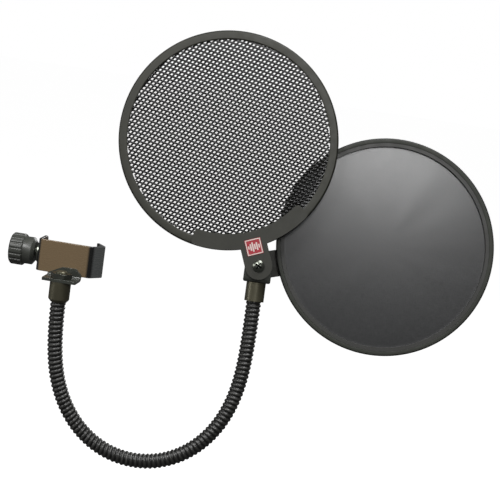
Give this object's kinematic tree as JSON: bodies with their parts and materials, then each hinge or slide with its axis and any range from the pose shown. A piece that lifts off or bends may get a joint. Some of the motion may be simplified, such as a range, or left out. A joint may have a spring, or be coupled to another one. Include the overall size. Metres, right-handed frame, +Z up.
{
  "type": "pop filter",
  "caption": "Microphone pop filter: two hinged round screens, metal mesh and fabric, on a bendable gooseneck with a screw clamp for a stand.",
  "frame": {"origin": "axis of the smallest stand tube the clamp holds (16 mm), at the height of the clamp screw", "axes": "+Z up along the stand tube, +X along the clamp screw from the knob to the V-jaw, +Y from the plate to the clamp's open side"},
  "size_m": [0.3291, 0.0868, 0.3068],
  "materials": {
    "gloss_black_steel": "gloss black paint on bent sheet steel",
    "dark_steel": "dark blackened steel, satin",
    "knob_plastic": "satin black moulded plastic",
    "pad_rubber": "matt black rubber",
    "gunmetal": "dark bronze-black plating, glossy",
    "neck_steel": "black coated steel wire",
    "washer_fibre": "matt black fibre",
    "arm_plastic": "fine-grained matt black plastic",
    "frame_plastic": "fine-grained matt black plastic",
    "badge_enamel": "red enamel with a pale sound-bar sign",
    "mesh_steel": "gloss black painted expanded steel",
    "nylon_fabric": "fine black nylon weave with a slight sheen"
  },
  "bodies": {
    "root": {"clamp_bracket": "gloss_black_steel", "weld_nut": "dark_steel", "ear_bracket": "gloss_black_steel", "stud_nut": "dark_steel", "lower_ferrule": "gunmetal", "neck_link_01": "neck_steel"},
    "pressure_foot": {"pressure_pad": "pad_rubber"},
    "clamp_knob": {"clamp_screw": "dark_steel", "knob": "knob_plastic"},
    "neck_02": {"neck_link_02": "neck_steel"},
    "neck_03": {"neck_link_03": "neck_steel"},
    "neck_04": {"neck_link_04": "neck_steel"},
    "neck_05": {"neck_link_05": "neck_steel"},
    "neck_06": {"neck_link_06": "neck_steel"},
    "neck_07": {"neck_link_07": "neck_steel"},
    "neck_08": {"neck_link_08": "neck_steel"},
    "neck_09": {"neck_link_09": "neck_steel"},
    "neck_10": {"neck_link_10": "neck_steel"},
    "neck_11": {"neck_link_11": "neck_steel"},
    "head": {"neck_link_12": "neck_steel", "upper_ferrule": "gunmetal", "yoke": "gloss_black_steel", "yoke_nut": "dark_steel", "pivot_screw": "dark_steel", "front_friction_washer": "washer_fibre", "rear_friction_washer": "washer_fibre", "pivot_washer": "dark_steel", "pivot_nut": "dark_steel", "pivot_sleeve": "dark_steel"},
    "front_screen": {"front_arm": "arm_plastic", "badge": "badge_enamel", "front_frame": "frame_plastic", "metal_mesh": "mesh_steel", "front_retaining_ring": "frame_plastic"},
    "rear_screen": {"rear_arm": "arm_plastic", "rear_frame": "frame_plastic", "fabric_screen": "nylon_fabric", "rear_retaining_ring": "frame_plastic"}
  },
  "joints": [
    {"name": "foot_travel", "type": "slide", "parent": "root", "child": "pressure_foot", "axis": [-1, 0, 0], "range_m": [0, 0.016]},
    {"name": "knob_turn", "type": "hinge", "parent": "pressure_foot", "child": "clamp_knob", "pos_m": [-0.03, 0, 0], "axis": [-1, 0, 0], "range_deg": [0, 5761]},
    {"name": "neck_bend_01", "type": "hinge", "parent": "root", "child": "neck_02", "pos_m": [-0.01113, -0.01928, -0.05388], "axis": [0.1392, -0.9903, 0], "range_deg": [-30, 1.2]},
    {"name": "neck_sway_01", "type": "hinge", "parent": "neck_02", "child": "neck_03", "pos_m": [-0.00739, -0.01875, -0.07775], "axis": [-0.9609, -0.135, -0.2419], "range_deg": [-10, 10]},
    {"name": "neck_bend_02", "type": "hinge", "parent": "neck_03", "child": "neck_04", "pos_m": [0.00156, -0.01749, -0.10012], "axis": [0.1392, -0.9903, 0], "range_deg": [-30, 1.2]},
    {"name": "neck_sway_02", "type": "hinge", "parent": "neck_04", "child": "neck_05", "pos_m": [0.01689, -0.01534, -0.11856], "axis": [-0.6307, -0.1274, -0.7655], "range_deg": [-10, 10]},
    {"name": "neck_bend_03", "type": "hinge", "parent": "neck_05", "child": "neck_06", "pos_m": [0.03778, -0.01222, -0.13003], "axis": [0.1743, -0.9825, 0.0661], "range_deg": [-30, 1.2]},
    {"name": "neck_sway_03", "type": "hinge", "parent": "neck_06", "child": "neck_07", "pos_m": [0.06137, -0.00817, -0.13214], "axis": [0.1372, -0.0811, -0.9872], "range_deg": [-10, 10]},
    {"name": "neck_bend_04", "type": "hinge", "parent": "neck_07", "child": "neck_08", "pos_m": [0.08361, -0.00351, -0.12438], "axis": [0.149, -0.9793, 0.1367], "range_deg": [-30, 1.2]},
    {"name": "neck_sway_04", "type": "hinge", "parent": "neck_08", "child": "neck_09", "pos_m": [0.10092, 0.00136, -0.1084], "axis": [0.8081, 0.0015, -0.589], "range_deg": [-10, 10]},
    {"name": "neck_bend_05", "type": "hinge", "parent": "neck_09", "child": "neck_10", "pos_m": [0.11161, 0.00607, -0.08732], "axis": [0.118, -0.9801, 0.1594], "range_deg": [-30, 1.2]},
    {"name": "neck_sway_05", "type": "hinge", "parent": "neck_10", "child": "neck_11", "pos_m": [0.1162, 0.01042, -0.06401], "axis": [0.9899, 0.1035, -0.0968], "range_deg": [-10, 10]},
    {"name": "neck_bend_06", "type": "hinge", "parent": "neck_11", "child": "head", "pos_m": [0.11705, 0.0144, -0.04017], "axis": [0.118, -0.9801, 0.1594], "range_deg": [-30, 1.2]},
    {"name": "front_screen_swing", "type": "hinge", "parent": "head", "child": "front_screen", "pos_m": [0.11596, 0.02255, 0.01077], "axis": [-0.118, 0.9801, -0.1594], "range_deg": [-19, 121]},
    {"name": "rear_screen_swing", "type": "hinge", "parent": "head", "child": "rear_screen", "pos_m": [0.11596, 0.02255, 0.01077], "axis": [-0.118, 0.9801, -0.1594], "range_deg": [-114, 26]}
  ],
  "couplings": [
    {"joint": "knob_turn", "follows": "foot_travel", "rad_per_m": 6283.2},
    {"joint": "neck_bend_02", "follows": "neck_bend_01", "ratio": 1},
    {"joint": "neck_sway_02", "follows": "neck_sway_01", "ratio": 1},
    {"joint": "neck_bend_03", "follows": "neck_bend_01", "ratio": 1},
    {"joint": "neck_sway_03", "follows": "neck_sway_01", "ratio": 1},
    {"joint": "neck_bend_04", "follows": "neck_bend_01", "ratio": 1},
    {"joint": "neck_sway_04", "follows": "neck_sway_01", "ratio": 1},
    {"joint": "neck_bend_05", "follows": "neck_bend_01", "ratio": 1},
    {"joint": "neck_sway_05", "follows": "neck_sway_01", "ratio": 1},
    {"joint": "neck_bend_06", "follows": "neck_bend_01", "ratio": 1}
  ]
}
